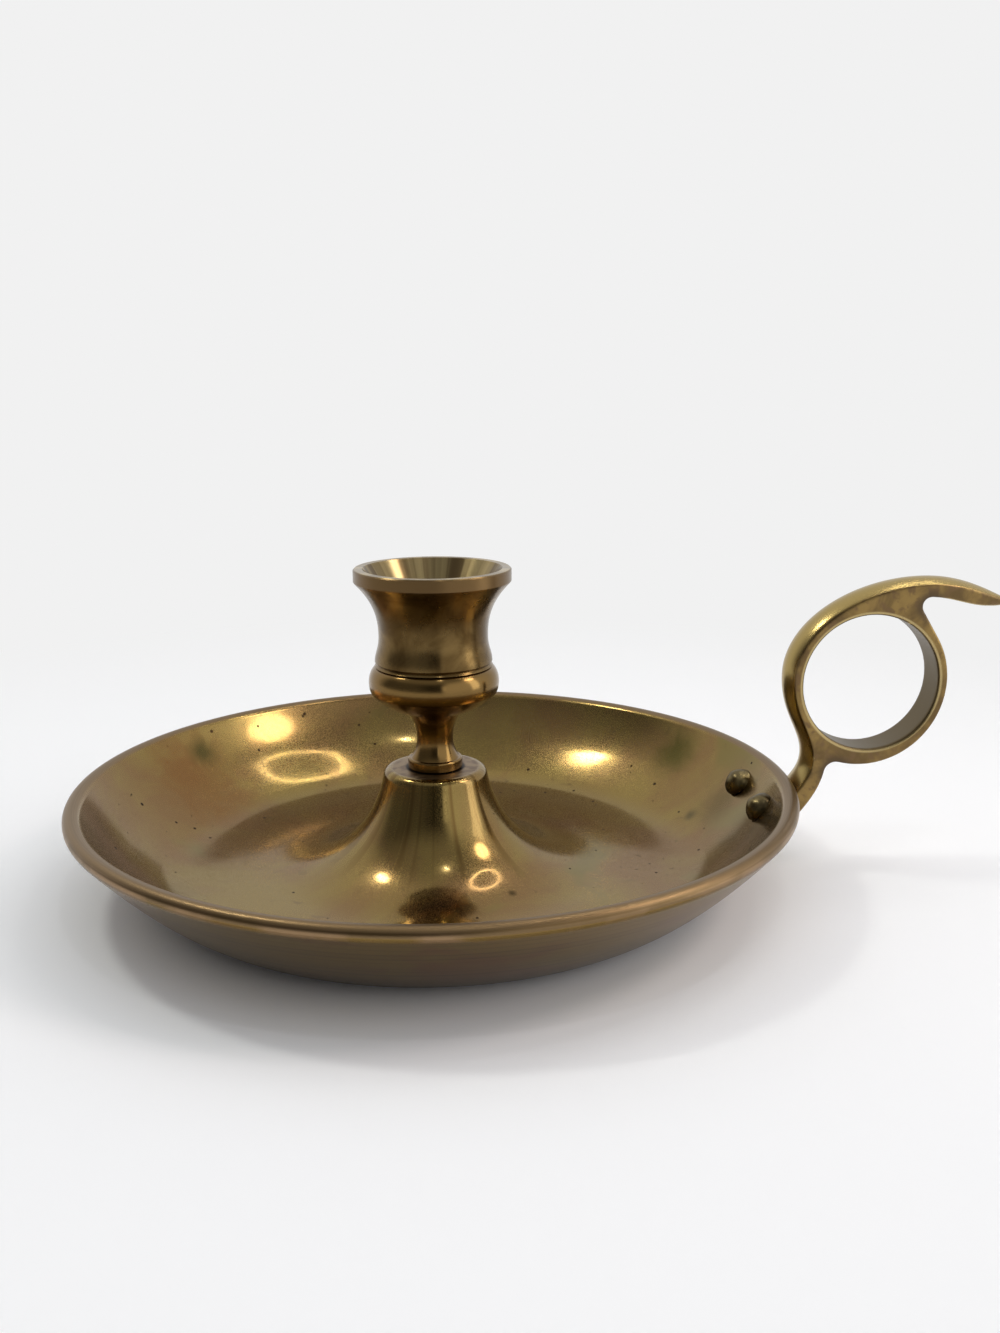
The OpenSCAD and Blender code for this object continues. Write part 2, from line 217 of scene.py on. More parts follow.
cone_lean = 78.5
cone_steep = 0.565
cone_spread = 0.544
round_from = 90 - cone_lean
round_drop = cone_round * (1 - heading(round_from)[1])
cone_top = np.array([cone_top_d / 2, cone_h - round_drop])
round_centre = cone_top - cone_round * heading(round_from)
cone_foot = np.array([cone_foot_d / 2, pan_t])
cone = [
    cone_top,
    cone_top + cone_steep * (cone_h - pan_t) * heading(-cone_lean),
    cone_foot - [cone_spread * (cone_foot[0] - cone_top[0]), 0],
    cone_foot,
]
hollow_from = 0.14
plate_low = cone_h - cone_plate_t
hollow = [
    bezier(cone, t) + pan_t * right_of(travel(cone, t)) for t in np.linspace(hollow_from, 1, 41)
]
spigot_r = spigot_d / 2
spigot_hole_r = spigot_r + spigot_gap

pan_outline = (
    [[spigot_hole_r, plate_low], [hollow[0][0] - cone_round, plate_low]]
    + hollow
    + [[r, 0] for r in np.linspace(cone_foot[0], wall_base[0], 6)[1:-1]]
    + curve(wall, 48)[::-1]
    + arc(lip_centre, lip_round, rim_slope - 90, 90, 10)
    + curve(lip_land, 24)
    + [inside(t) for t in np.linspace(inside_from, inside_to, 61)]
    + curve([turn, turn_mid, turn_bed, turn_end], 24)
    + [[r, pan_t] for r in np.linspace(turn_end[0], cone_foot[0], 5)[1:-1]]
    + curve(cone, 56)[::-1]
    + arc(round_centre, cone_round, round_from, 90, 12)[1:]
    + [[spigot_hole_r, cone_h]]
)
pan_nodes = ["drip_pan", "pan_cone"]
pan = turned("drip_pan_turned", pan_outline, pan_nodes, around=288, closed=True)


def linear(colour):
    """The linear value of an sRGB hex colour."""
    parts = [int(colour[i : i + 2], 16) / 255 for i in (1, 3, 5)]
    return [p / 12.92 if p <= 0.04045 else ((p + 0.055) / 1.055) ** 2.4 for p in parts] + [1]


def add(tree, kind, inputs=None, out=0, **settings):
    """Adds a node, sets it, links or fills its inputs, and returns one of its outputs, if it
    has any."""
    new = tree.nodes.new("ShaderNode" + kind)
    for name, value in settings.items():
        setattr(new, name, value)
    for name, value in (inputs or {}).items():
        socket = new.inputs[name]
        if isinstance(value, bpy.types.NodeSocket):
            tree.links.new(value, socket)
        else:
            socket.default_value = value
    return None if out is None else new.outputs[out]


def aged_brass(name, clean, tarnished, spread, gloss, dull):
    """Brass under a patina. The tarnish gathers in clouds of the size given by spread, in
    mm, and smudges from fingers and cloths vary the gloss. The result holds what a section
    lays its own marks on."""
    material = bpy.data.materials.new(name)
    material.use_nodes = True
    tree = material.node_tree
    tree.nodes.clear()
    place = add(tree, "TexCoord", out="Object")
    x, y, z = add(tree, "SeparateXYZ", {0: place}).node.outputs
    flat = add(tree, "CombineXYZ", {0: x, 1: y})
    radius = add(tree, "VectorMath", {0: flat}, out=1, operation="LENGTH")
    surface = add(tree, "NewGeometry").node.outputs
    clouds = add(
        tree,
        "TexNoise",
        {"Vector": place, "Scale": 1000 / spread, "Detail": 5, "Roughness": 0.6, "Distortion": 0.6},
    )
    patina = add(
        tree,
        "MapRange",
        {"Value": clouds, "From Min": 0.36, "From Max": 0.66},
        interpolation_type="SMOOTHSTEP",
    )
    colour = add(
        tree, "Mix", {0: patina, 6: linear(clean), 7: linear(tarnished)}, out=2, data_type="RGBA"
    )
    smudge_size = 7
    smudges = add(
        tree,
        "TexNoise",
        {"Vector": place, "Scale": 1000 / smudge_size, "Detail": 4, "Distortion": 1.2},
    )
    rough = add(
        tree,
        "MapRange",
        {"Value": smudges, "From Min": 0.3, "From Max": 0.7, "To Min": gloss, "To Max": dull},
    )
    return {
        "material": material,
        "tree": tree,
        "place": place,
        "height": z,
        "flat": flat,
        "radius": radius,
        "normal": surface["Normal"],
        "pointiness": surface["Pointiness"],
        "smudges": smudges,
        "colour": colour,
        "rough": rough,
    }


def ramp(finish, value, start, end):
    """Mask that rises from 0 where the value is start to 1 where it is end."""
    return add(
        finish["tree"],
        "MapRange",
        {"Value": value, "From Min": start, "From Max": end},
        interpolation_type="SMOOTHSTEP",
    )


def both(finish, one, other):
    """Mask of the places that two masks share."""
    return add(finish["tree"], "Math", {0: one, 1: other}, operation="MULTIPLY")


def marks(finish, size, start, end, detail=3, squeeze=(1, 1, 1)):
    """Mask of marks of this size in mm, drawn out along an axis that is squeezed."""
    place = add(
        finish["tree"], "VectorMath", {0: finish["place"], 1: squeeze}, operation="MULTIPLY"
    )
    inputs = {"Vector": place, "Scale": 1000 / size, "Detail": detail, "Distortion": 0.5}
    return ramp(finish, add(finish["tree"], "TexNoise", inputs), start, end)


def stained(finish, where, colour, rough=None):
    """Lays a colour, and a roughness, over the finish where the mask is 1."""
    tree = finish["tree"]
    inputs = {0: where, 6: finish["colour"], 7: linear(colour)}
    finish["colour"] = add(tree, "Mix", inputs, out=2, data_type="RGBA")
    if rough is not None:
        finish["rough"] = add(tree, "Mix", {0: where, 2: finish["rough"], 3: rough})


def dented(finish, height, depth):
    """Gives the finish a relief of this height, in mm, where depth is 1."""
    inputs = {"Height": depth, "Distance": height * MM, "Strength": 1}
    if "relief" in finish:
        inputs["Normal"] = finish["relief"]
    finish["relief"] = add(finish["tree"], "Bump", inputs)


def applied(finish, *pieces, across=0):
    """Closes the finish with its metal shader and puts it on the pieces. A turned piece
    spreads its gloss across the tool's marks, by the share given."""
    tree = finish["tree"]
    inputs = {"Base Color": finish["colour"], "Roughness": finish["rough"], "Metallic": 1}
    if "relief" in finish:
        inputs["Normal"] = finish["relief"]
    if across:
        inputs["Anisotropic"] = across
        inputs["Anisotropic Rotation"] = 0.25
        inputs["Tangent"] = add(tree, "Tangent", direction_type="RADIAL", axis="Z")
    shader = add(tree, "BsdfPrincipled", inputs)
    add(tree, "OutputMaterial", {"Surface": shader}, out=None)
    for piece in pieces:
        piece.data.materials.clear()
        piece.data.materials.append(finish["material"])


# Turned and polished brass: smooth enough to mirror the cup and the lamps. Rosy clouds of
# tarnish lie over olive metal, with dark smudges, a scatter of pits and a few hairlines
pan_finish = aged_brass("brass_turned_polished", "#8c7746", "#836743", 30, 0.08, 0.15)
tree = pan_finish["tree"]

# Scratches from polishing cloths, finer than the eye can part: a haze round each lamp
haze_mask = marks(pan_finish, 0.13, 0.49, 0.57, detail=1)
pan_finish["rough"] = add(tree, "Mix", {0: haze_mask, 2: pan_finish["rough"], 3: 0.3})
smudge_mask = marks(pan_finish, 22, 0.6, 0.75, squeeze=(1, 0.6, 1))
stained(pan_finish, smudge_mask, "#7c6d40", 0.16)
film_mask = marks(pan_finish, 3.5, 0.6, 0.85, detail=5)
stained(pan_finish, film_mask, "#75603c", 0.2)
pit_spacing = 3.8
pit_largest = 0.13
cells = add(
    tree, "TexVoronoi", {"Vector": pan_finish["place"], "Scale": 1000 / pit_spacing}
).node.outputs
chance = add(tree, "SeparateColor", {0: cells["Color"]})
pit_reach = add(tree, "Math", {0: chance, 1: 1.4}, operation="POWER")
pit_reach = add(tree, "Math", {0: pit_reach, 1: pit_largest}, operation="MULTIPLY")
pit_depth = add(tree, "Math", {0: pit_reach, 1: cells["Distance"]}, operation="SUBTRACT")
pit_mask = both(
    pan_finish,
    ramp(pan_finish, pit_depth, -0.01, 0.02),
    ramp(pan_finish, pan_finish["radius"], 26 * MM, 30 * MM),
)
speck_mask = both(
    pan_finish, marks(pan_finish, 1.1, 0.68, 0.74), marks(pan_finish, 16, 0.52, 0.62)
)
stained(pan_finish, pit_mask, "#33261a", 0.5)
stained(pan_finish, speck_mask, "#4a3c22", 0.4)

# Old smudges on the wall and floor: a rosy band and an olive patch up at the left, a green
# one at the right, and painted shade below the rivets' heads, where their shadow and dark
# mirror image fall on the wall
for spot, size, colour in (
    ((-60, 36, 12), 17, "#805e38"),
    ((-59, 44, 16), 5, "#574c2b"),
    ((63, 36, 15.5), 8, "#5e542c"),
    ((15.3, -23.4, 3.7), 1.2, "#4a3a20"),
    ((62, 14, 6), 2.5, "#5f5232"),
    # Painted shade below the two rivets' heads
    ((66, -9, 12), 8, "#6c5a34"),
    ((66, 9, 12), 8, "#6c5a34"),
):
    middle = tuple(n * MM for n in spot)
    away = add(tree, "VectorMath", {0: pan_finish["place"], 1: middle}, out=1, operation="DISTANCE")
    ragged = add(
        tree, "Math", {0: pan_finish["smudges"], 1: size * MM, 2: away}, operation="MULTIPLY_ADD"
    )
    stain_and_shade_mask = ramp(pan_finish, ragged, size * 1.7 * MM, size * 0.5 * MM)
    stained(pan_finish, stain_and_shade_mask, colour)

# Brown streaks down the cone, where wax and polish ran
around_axis = add(tree, "VectorMath", {0: pan_finish["flat"]}, operation="NORMALIZE")
streak_count = 5
streaks = add(tree, "TexNoise", {"Vector": around_axis, "Scale": streak_count, "Detail": 4})
streak_mask = both(
    pan_finish,
    ramp(pan_finish, pan_finish["radius"], 28 * MM, 15 * MM),
    ramp(pan_finish, streaks, 0.48, 0.66),
)
stained(pan_finish, streak_mask, "#6f5731", 0.18)

# Cone top: a purple-grey film that no cloth reaches, darkened in a narrow ring round the cup's foot
top_flat_r = round_centre[0] + 0.3
top_mask = both(
    pan_finish,
    ramp(pan_finish, pan_finish["height"], (cone_h - 0.3) * MM, (cone_h - 0.05) * MM),
    ramp(pan_finish, pan_finish["radius"], top_flat_r * MM, (top_flat_r - 0.8) * MM),
)
stained(pan_finish, top_mask, "#8b7558", 0.4)
mottle_mask = both(pan_finish, top_mask, marks(pan_finish, 2.5, 0.42, 0.62))
stained(pan_finish, mottle_mask, "#6b543c")
foot_ring_mask = both(
    pan_finish, top_mask, ramp(pan_finish, pan_finish["radius"], 7 * MM, 6.3 * MM)
)
stained(pan_finish, foot_ring_mask, "#2a2019", 0.5)

# Outside and lip: rubbed by the table and by hands, browner and less glossy than the inside.
# The downward-facing outside is also painted darker, darkest towards the table: painted shade
# for the shadowed table that it mirrors
upward = add(tree, "SeparateXYZ", {0: pan_finish["normal"]}, out=2)
outside_mask = ramp(pan_finish, upward, 0.1, -0.1)
stained(pan_finish, outside_mask, "#806839", 0.27)
red_mask = both(pan_finish, outside_mask, marks(pan_finish, 22, 0.45, 0.62, squeeze=(1, 1, 2)))
stained(pan_finish, red_mask, "#7b5b38")
# Painted shade: the outside darker towards the table
base_shade_mask = both(pan_finish, outside_mask, ramp(pan_finish, pan_finish["height"], 9 * MM, 0))
stained(pan_finish, base_shade_mask, "#624c2a")
land_mask = both(
    pan_finish,
    ramp(pan_finish, pan_finish["radius"], (lip_inner[0] - 0.2) * MM, (lip_inner[0] + 0.3) * MM),
    ramp(pan_finish, upward, -0.2, 0.1),
)
stained(pan_finish, land_mask, "#7d6749", 0.38)
# The rim's outer edge: worn lighter in patches, and painted lighter as a highlight along the lip
edge_wear_and_highlight_mask = both(
    pan_finish,
    ramp(pan_finish, pan_finish["radius"], (pan_r - 0.5) * MM, (pan_r - 0.1) * MM),
    marks(pan_finish, 12, 0.4, 0.6),
)
stained(pan_finish, edge_wear_and_highlight_mask, "#94795a", 0.34)

lathe_pitch = 0.7
lathe_place = add(tree, "CombineXYZ", {0: pan_finish["radius"], 1: pan_finish["height"]})
lathe_rings = add(
    tree, "TexNoise", {"Vector": lathe_place, "Scale": 1000 / lathe_pitch, "Detail": 3}
)
dented(pan_finish, 0.003, lathe_rings)
rubbed_mask = add(tree, "Math", {0: outside_mask, 1: land_mask}, operation="MAXIMUM")
ring_marks = both(pan_finish, rubbed_mask, ramp(pan_finish, lathe_rings, 0.5, 0.75))
stained(pan_finish, ring_marks, "#5f4a2c")
wave_size = 20
waves = add(
    tree, "TexNoise", {"Vector": pan_finish["place"], "Scale": 1000 / wave_size, "Detail": 1}
)
dented(pan_finish, 0.1, waves)
applied(pan_finish, pan)


# Candle cup, knop, stem and foot: turned from one brass bar and left unlacquered, so the
# hands that set the candle have darkened it. Its spigot goes down through the cone's top.

cup_h = 45
cup_rim_d = 34.4
cup_band_h = 3
cup_mouth_d = 30.4
funnel_h = 7.2
candle_d = 21
candle_h = 18
cup_wall = 1.5
knop_d = 28.8
stem_d = 8.1
foot_d = 12.2
foot_h = 2.4
washer_d = 13
washer_t = 1.2
nut_af = 10
nut_h = 5
spigot_end = 1.5
thread_pitch = 1


def oval(centre, across, up, start, end, steps):
    return [
        np.array(centre) + heading(a) * [across, up] for a in np.linspace(start, end, steps + 1)
    ]


spigot_l = cone_plate_t + washer_t + nut_h + spigot_end
thread_depth = 0.35
thread = []
for low in np.arange(-spigot_l + 0.6, -cone_plate_t, thread_pitch):
    thread += [[spigot_r - thread_depth, low], [spigot_r, low + thread_pitch / 2]]

foot_round = 0.5
foot_r = foot_d / 2
stem_r = stem_d / 2
stem_low_r = foot_r - 0.7
stem_waist = 6.9
stem_top = np.array([stem_r + 2.3, 13])
knop_h = 19.8
knop_across = 2.4
knop_up = 3.8
knop_centre = [knop_d / 2 - knop_across, knop_h]
knop = oval(knop_centre, knop_across, knop_up, -40, 63, 24)
bead_r = 13
bead_h = 23.55
groove_in = 0.45
groove_h = 0.5
neck_low = np.array([bead_r - 0.05, bead_h + 2 * groove_h])
cup_waist = np.array([candle_d / 2 + cup_wall, 30.2])
band_low = np.array([cup_rim_d / 2 - 0.2, cup_h - cup_band_h])
edge = 0.3

cup_outline = (
    [[0, -spigot_l], [spigot_r - 0.6, -spigot_l]]
    + thread
    + [[spigot_r, -cone_plate_t], [spigot_r, 0], [foot_r - edge, 0], [foot_r, edge]]
    + arc([foot_r - foot_round, foot_h - foot_round], foot_round, 0, 90, 6)
    + curve([[stem_low_r, foot_h], [stem_r, foot_h + 2], [stem_r, stem_waist]], 16)
    + curve([[stem_r, stem_waist], [stem_r, stem_top[1] - 2.4], stem_top], 16)[1:]
    + curve([stem_top, [knop[0][0] - 3.4, stem_top[1] + 0.9], knop[0] - [0.25, 0.2]], 12)[1:]
    + knop
    + [[bead_r - groove_in, bead_h - groove_h / 2], [bead_r, bead_h]]
    + [[bead_r - groove_in, bead_h + groove_h]]
    + curve([neck_low, neck_low + [-0.1, 2], cup_waist - [0, 2.8], cup_waist], 20)
    + curve(
        [cup_waist, cup_waist + [0, 4.5], [cup_waist[0] + 1.2, band_low[1] - 3.9], band_low], 28
    )[1:]
    + [[cup_rim_d / 2, cup_h - cup_band_h + edge], [cup_rim_d / 2, cup_h - edge]]
    + [[cup_rim_d / 2 - edge, cup_h], [cup_mouth_d / 2, cup_h]]
    + curve([[cup_mouth_d / 2, cup_h], [candle_d / 2, cup_h - funnel_h]], 6)[1:]
    + curve([[candle_d / 2, cup_h - funnel_h], [candle_d / 2, cup_h - funnel_h - candle_h]], 4)[1:]
    + [[0, cup_h - funnel_h - candle_h]]
)
cup_outline = [np.array(p) + [0, cone_h] for p in cup_outline]
cup = turned("candle_cup_turned", cup_outline, ["candle_cup"], around=192)

# Turned brass, satin from handling: its gloss is drawn out up and down across the tool's
# marks. The funnel is wiped cleaner and also painted lighter as a sheen, and the dark streaks
# that fan out from the socket are painted reflections
cup_finish = aged_brass("brass_turned_satin", "#7e6740", "#594527", 10, 0.24, 0.34)
tree = cup_finish["tree"]
upward = add(tree, "SeparateXYZ", {0: cup_finish["normal"]}, out=2)
funnel_low = cone_h + cup_h - funnel_h
funnel_mask = both(
    cup_finish,
    ramp(cup_finish, upward, 0.2, 0.4),
    ramp(cup_finish, cup_finish["height"], (funnel_low - 0.5) * MM, (funnel_low + 0.5) * MM),
)
# Funnel lighter: part wear, part painted sheen
stained(cup_finish, funnel_mask, "#a8956a", 0.28)
# Painted reflections: dark streaks that fan out from the socket
ray_place = add(tree, "VectorMath", {0: cup_finish["flat"]}, operation="NORMALIZE")
ray_count = 3.5
rays = add(tree, "TexNoise", {"Vector": ray_place, "Scale": ray_count, "Detail": 4})
reflection_streak_mask = both(cup_finish, funnel_mask, ramp(cup_finish, rays, 0.4, 0.62))
stained(cup_finish, reflection_streak_mask, "#66553a")
worn_mask = ramp(cup_finish, cup_finish["pointiness"], 0.54, 0.6)
stained(cup_finish, worn_mask, "#b09868", 0.24)
groove_at = cone_h + bead_h
handled_mask = ramp(cup_finish, cup_finish["height"], (groove_at + 1) * MM, (groove_at - 1) * MM)
stained(cup_finish, handled_mask, "#7d633a", 0.19)
# Painted shade: the band round the rim is painted darker than what it mirrors, and it is rougher
band_at = cone_h + cup_h - cup_band_h
band_shade_mask = both(
    cup_finish,
    ramp(cup_finish, cup_finish["height"], (band_at - 0.2) * MM, (band_at + 0.1) * MM),
    ramp(cup_finish, cup_finish["radius"], (cup_rim_d / 2 - 0.4) * MM, (cup_rim_d / 2 - 0.1) * MM),
)
stained(cup_finish, band_shade_mask, "#70593a", 0.34)
applied(cup_finish, cup, across=0.75)


# Washer and nut under the cone: turned and milled brass, out of the photograph's sight.
# They draw the cup down on the cone's flat top.

nut_chamfer = 0.7


def hexagon_radius(angle):
    """Distance from the nut's axis to its flats in this direction."""
    return nut_af / 2 / np.cos((angle + np.pi / 6) % (np.pi / 3) - np.pi / 6)


washer_top = plate_low
washer_low = plate_low - washer_t
washer_edge = 0.15
washer_outline = [
    [spigot_hole_r, washer_low],
    [washer_d / 2 - washer_edge, washer_low],
    [washer_d / 2, washer_low + washer_edge],
    [washer_d / 2, washer_top - washer_edge],
    [washer_d / 2 - washer_edge, washer_top],
    [spigot_hole_r, washer_top],
]
washer = turned(
    "stem_washer_turned", washer_outline, ["stem_washer"], around=96, closed=True
)

nut_low = washer_low - nut_h
nut_bore = spigot_r + 0.04
nut = turned(
    "stem_nut_milled",
    [[nut_bore, nut_low], [nut_af / 2 - 0.2, nut_low]]
    + [[1, h] for h in np.linspace(nut_low, nut_low + nut_chamfer, 5)]
    + [[1, h] for h in np.linspace(washer_low - nut_chamfer, washer_low, 5)]
    + [[nut_af / 2 - 0.2, washer_low], [nut_bore, washer_low]],
    ["stem_nut"],
    around=144,
    closed=True,
)
for corner in nut.data.vertices:
    spot = corner.co.xy.length / MM
    if abs(spot - 1) < 0.01:
        angle = np.arctan2(corner.co.y, corner.co.x)
        height = corner.co.z / MM
        from_end = min(height - nut_low, washer_low - height)
        reach = min(hexagon_radius(angle), nut_af / 2 - 0.1 + from_end * 1.7)
        corner.co.x = reach * np.cos(angle) * MM
        corner.co.y = reach * np.sin(angle) * MM
nut.data.update()

# Milled brass that no hand reaches: dull, with dust and a brown film
fastener_finish = aged_brass("brass_milled_dull", "#7d6a45", "#5c4a30", 6, 0.3, 0.45)
applied(fastener_finish, washer, nut)


# Finger handle: stem, ring and thumb crescent cast in one piece of brass and filed smooth.
# Its back is rounded, its sides are flat, and a palm behind the wall takes the rivets.

finger_d = 30.8
ring_out = 17.7
ring_up = 20.7
band_w = 8.8
stem_t = 4.8
arch_t = 4.4
thumb_t = 4.2
ring_t = 2.2
ring_low_t = 1.5
crown = 1.5
thumb_out = 20
thumb_drop = 6
notch_r = 2
crotch_r = 2.6
rivet_gap = 18.4
palm_t = 2.4
palm_r = 5.8
palm_gap = 0.05

ring_centre = np.array([pan_r + ring_out, rim_h + ring_up])
finger_r = finger_d / 2
arch_left = ring_centre + [-(finger_r + 3.6), 0.9]
arch_top = ring_centre + [12.7, finger_r + 8]
rib_from = 0.31
rib_to = 0.09
rib_depth = 0.85 * palm_t


def rib_spot(u):
    return rib_from + (rib_to - rib_from) * u


def rib(u):
    return bezier(wall, rib_spot(u)) - (palm_gap + rib_depth) * inward(rib_spot(u))


def rib_way(u):
    return -travel(wall, rib_spot(u))


stem = [rib(1), rib(1) + 17 * rib_way(1), arch_left - [0, 13.3], arch_left]
arch = [arch_left, arch_left + [0, 13.1], arch_top - [15.8, 0], arch_top]
thumb_tip = arch_top + [thumb_out, -thumb_drop]
thumb = [
    arch_top,
    arch_top + [0.39 * thumb_out, 0],
    thumb_tip + [-0.335 * thumb_out, 0.55 * thumb_drop],
    thumb_tip,
]

half_w = band_w / 2
rib_w = half_w + 0.5
rib_t = 1.4
rib_crown = 0.3
tip_w = 0.5
tip_t = 0.7


def stem_depth(u):
    return stem_t + (arch_t - stem_t) * u


def arch_depth(u):
    return arch_t + (thumb_t - arch_t) * u


def thumb_depth(u):
    return tip_t + (thumb_t * (1 + 0.1 * np.sin(np.pi * u)) - tip_t) * (1 - u**4.5)


def depth_to_hole(point, way, depth):
    """Depth of the spine at this point, no further in than the finger hole."""
    to_centre = ring_centre - point
    along = to_centre @ right_of(way)
    room = finger_r**2 - (to_centre @ to_centre - along**2)
    if room < 0:
        return depth
    return min(depth, along - np.sqrt(room))


stations = []
for u in np.arange(0, 1, 1 / 12):
    width = rib_w * (0.72 + 0.28 * np.sin(np.pi / 2 * u))
    stations.append((rib(u), rib_way(u), width, rib_t + (stem_t - rib_t) * u, rib_crown * (0.3 + 0.7 * u)))
for u in np.arange(0, 1, 1 / 60):
    point, way = bezier(stem, u), travel(stem, u)
    width = half_w + (rib_w - half_w) * (1 - u) ** 3
    stations.append(
        (point, way, width, depth_to_hole(point, way, stem_depth(u)), min(crown, rib_crown + 5 * u))
    )
for u in np.arange(0, 1, 1 / 90):
    point, way = bezier(arch, u), travel(arch, u)
    stations.append((point, way, half_w, depth_to_hole(point, way, arch_depth(u)), crown))
for u in np.linspace(0, 1, 61):
    width = half_w - (half_w - tip_w) * u**2.2
    stations.append(
        (bezier(thumb, u), travel(thumb, u), width, thumb_depth(u), crown * (1 - 0.8 * u**3))
    )

crown_steps = 16
ease = 0.5
spine = bpy.data.meshes.new("spine")
corners = []
for point, way, width, depth, rise in stations:
    soft = min(ease, width / 3, depth / 3)
    section = [
        [width * y, min(rise, depth - soft) * y * y] for y in np.linspace(1, -1, crown_steps + 1)
    ]
    section += [[-width, depth - soft], [soft - width, depth], [width - soft, depth], [width, depth - soft]]
    for across, deep in section:
        spot = point + deep * right_of(way)
        corners.append((spot[0] * MM, across * MM, spot[1] * MM))
count = crown_steps + 5
faces = []
for i in range(len(stations) - 1):
    for j in range(count):
        a, b = i * count + j, i * count + (j + 1) % count
        faces.append((a, b, b + count, a + count))
last = (len(stations) - 1) * count
faces.append(tuple(range(count))[::-1])
faces.append(tuple(range(last, last + count)))
spine.from_pydata(corners, [], faces)

ring_r = finger_r + ring_t + ring_low_t
ring_outer_centre = ring_centre - [ring_low_t, 0]


def off_stem(u, gap):
    return bezier(stem, u) + (stem_depth(u) + gap) * right_of(travel(stem, u))


low, high = 0, 0.6
for _ in range(20):
    crotch_at = (low + high) / 2
    if np.hypot(*(off_stem(crotch_at, crotch_r) - ring_outer_centre)) > ring_r + crotch_r:
        low = crotch_at
    else:
        high = crotch_at
crotch_centre = off_stem(crotch_at, crotch_r)
crotch_turn = slope_of(ring_outer_centre - crotch_centre)
crotch_end = slope_of(off_stem(crotch_at, 0) - crotch_centre)
notch_centre = arch_top - [0, thumb_t + notch_r]
notch_away = notch_centre - ring_outer_centre
notch_turn = slope_of(notch_away) - np.degrees(np.arccos((ring_r + notch_r) / np.hypot(*notch_away)))

plate_outline = (
    [off_stem(u, -stem_depth(u) / 2) for u in np.linspace(crotch_at, 1, 20)]
    + [bezier(arch, u) + arch_depth(u) / 2 * right_of(travel(arch, u)) for u in np.linspace(0, 1, 40)[1:]]
    + arc(notch_centre, notch_r, 90, 180 + notch_turn, 12)
    + arc(ring_outer_centre, ring_r, notch_turn, crotch_turn - 180, 96)
    + arc(crotch_centre, crotch_r, crotch_turn, crotch_end, 12)[1:]
)
plate_curve = bpy.data.curves.new("plate", "CURVE")
plate_curve.dimensions = "2D"
plate_curve.fill_mode = "BOTH"
plate_round = 0.5
plate_curve.extrude = (half_w - plate_round) * MM
plate_curve.bevel_depth = plate_round * MM
plate_curve.bevel_resolution = 3
plate_curve.offset = -plate_round * MM
for outline in (plate_outline, arc(ring_centre, finger_r, 0, 357, 119)):
    spline = plate_curve.splines.new("POLY")
    spline.points.add(len(outline) - 1)
    spline.points.foreach_set("co", [n for x, z in outline for n in (x * MM, z * MM, 0, 1)])
    spline.use_cyclic_u = True
plate_object = bpy.data.objects.new("plate", plate_curve)
bpy.context.scene.collection.objects.link(plate_object)
bpy.context.view_layer.update()
plate = bpy.data.meshes.new_from_object(plate_object.evaluated_get(bpy.context.evaluated_depsgraph_get()))
plate.transform(Matrix.Rotation(np.pi / 2, 4, "X"))
bpy.data.objects.remove(plate_object)

rivet_at = 0.18
rivet_p = bezier(wall, rivet_at)
wall_speed = 2 * np.hypot(*((1 - rivet_at) * (wall[1] - wall[0]) + rivet_at * (wall[2] - wall[1])))
palm_steps = 10
palm_edge = 0.7
half_gap = rivet_gap / 2
plan = arc([half_gap, 0], palm_r, -90, 90, 24) + arc([-half_gap, 0], palm_r, 90, 270, 24)
rows = [(s, palm_t - palm_edge * max(0, (s - 0.85) / 0.15) ** 2) for s in np.linspace(0, 1, palm_steps)]
rows += [(s, 0) for s in np.linspace(1, 0, palm_steps)]
corners = []
for scale, lift in rows:
    for across, up in plan:
        spot = rivet_at - up * scale / wall_speed
        p = bezier(wall, spot) - (palm_gap + lift) * inward(spot)
        turn_by = np.arcsin(across * scale / p[0])
        corners.append((p[0] * np.cos(turn_by) * MM, across * scale * MM, p[1] * MM))
faces = []
count = len(plan)
for i in range(len(rows) - 1):
    for j in range(count):
        a, b = i * count + j, i * count + (j + 1) % count
        faces.append((a, b, b + count, a + count))
palm = bpy.data.meshes.new("palm")
palm.from_pydata(corners, [], faces)

cast = bpy.data.meshes.new("cast")
corners, faces = [], []
for part in (spine, plate, palm):
    start = len(corners)
    corners += [tuple(v.co) for v in part.vertices]
    faces += [tuple(i + start for i in p.vertices) for p in part.polygons]
cast.from_pydata(corners, [], faces)
cast.validate()
handle = bpy.data.objects.new("finger_handle_cast", cast)
bpy.context.scene.collection.objects.link(handle)
cell = 0.3
melt = handle.modifiers.new("melt", "REMESH")
melt.mode = "VOXEL"
melt.voxel_size = cell * MM
filed = handle.modifiers.new("filed", "SMOOTH")
filed.factor = 0.5
filed.iterations = 8
bpy.context.view_layer.update()
solid = bpy.data.meshes.new_from_object(handle.evaluated_get(bpy.context.evaluated_depsgraph_get()))
bpy.data.objects.remove(handle)
handle = finished("finger_handle_filed", solid, ["finger_handle"], sharp=0)

# Cast brass, filed by hand: rosy brown and mottled on its sides, rubbed to a soft olive
# gold on its back, greyer inside the ring, where the file left it coarse, and dark with
# grime in the hollows beside the ring
handle_finish = aged_brass("brass_cast_filed", "#967c4c", "#6e5a3c", 8, 0.28, 0.4)
tree = handle_finish["tree"]
mottle_mask = marks(handle_finish, 2.4, 0.5, 0.66, detail=5)
stained(handle_finish, mottle_mask, "#776043")
sideways = add(tree, "SeparateXYZ", {0: handle_finish["normal"]}, out=1)
sideways = add(tree, "Math", {0: sideways}, operation="ABSOLUTE")
back_mask = ramp(handle_finish, sideways, 0.85, 0.5)
stained(handle_finish, back_mask, "#a8925c", 0.26)
x, y, z = add(tree, "SeparateXYZ", {0: handle_finish["place"]}).node.outputs
in_plane = add(tree, "CombineXYZ", {0: x, 2: z})
